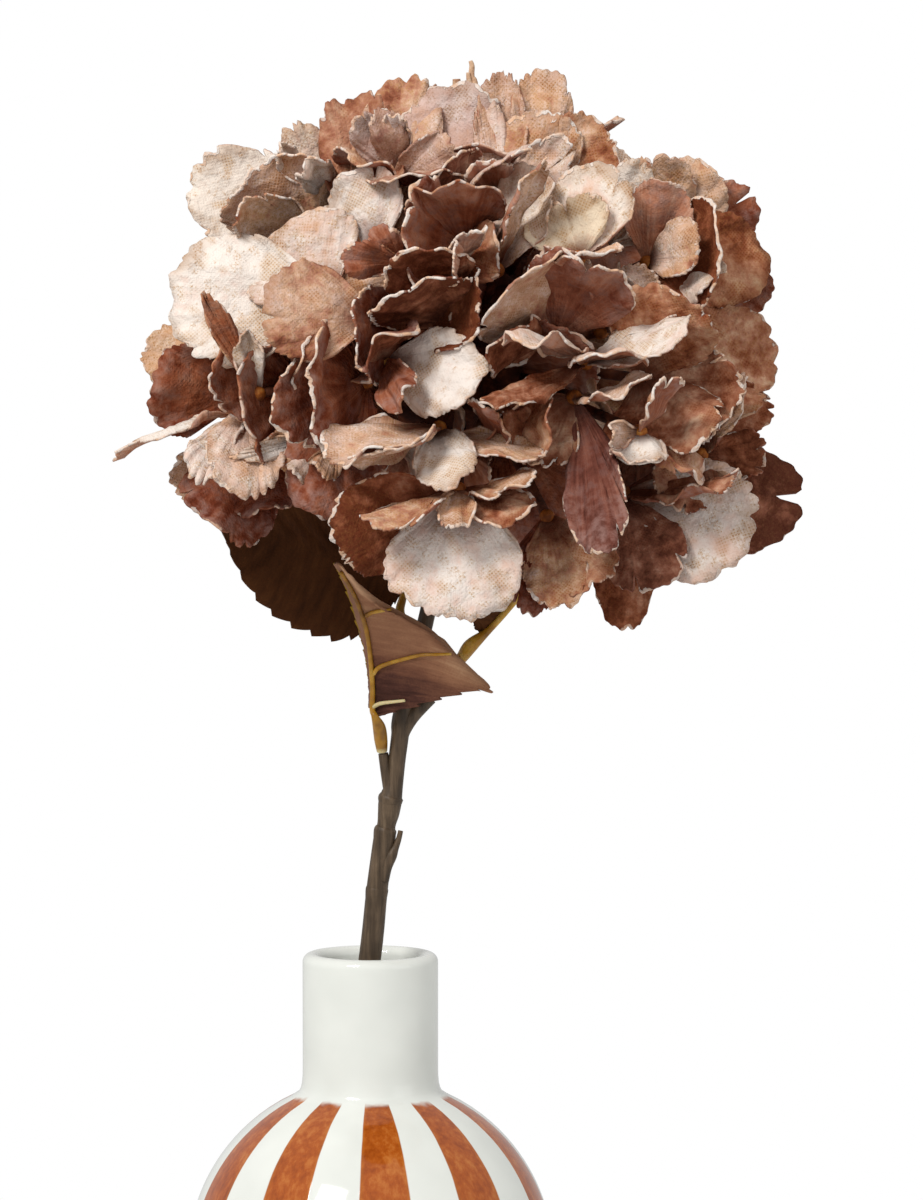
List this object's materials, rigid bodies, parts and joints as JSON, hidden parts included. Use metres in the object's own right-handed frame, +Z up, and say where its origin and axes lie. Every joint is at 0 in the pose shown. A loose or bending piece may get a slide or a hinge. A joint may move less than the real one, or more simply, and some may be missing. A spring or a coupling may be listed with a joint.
{
  "type": "hydrangea stem in vase",
  "caption": "Artificial dried-look hydrangea head on a leafy brown stem, standing in a round white ceramic bottle vase with rust stripes.",
  "frame": {"origin": "middle of the vase's flat foot", "axes": "+Z up the vase's neck, -Y towards the side that the picture shows, +X to the right of that side"},
  "size_m": [0.1729, 0.1528, 0.3543],
  "materials": {
    "glaze": "gloss",
    "stem_plastic": "matte",
    "rib_plastic": "satin",
    "leaf_fabric": "matte",
    "petal_fabric": "matte"
  },
  "bodies": {
    "root": {"vase": "glaze", "stem": "stem_plastic", "front_leaf": "leaf_fabric", "front_leaf_rib": "rib_plastic", "left_leaf": "leaf_fabric", "left_leaf_rib": "rib_plastic", "right_leaf": "leaf_fabric", "right_leaf_rib": "rib_plastic", "hydrangea_head": "petal_fabric"}
  },
  "joints": []
}
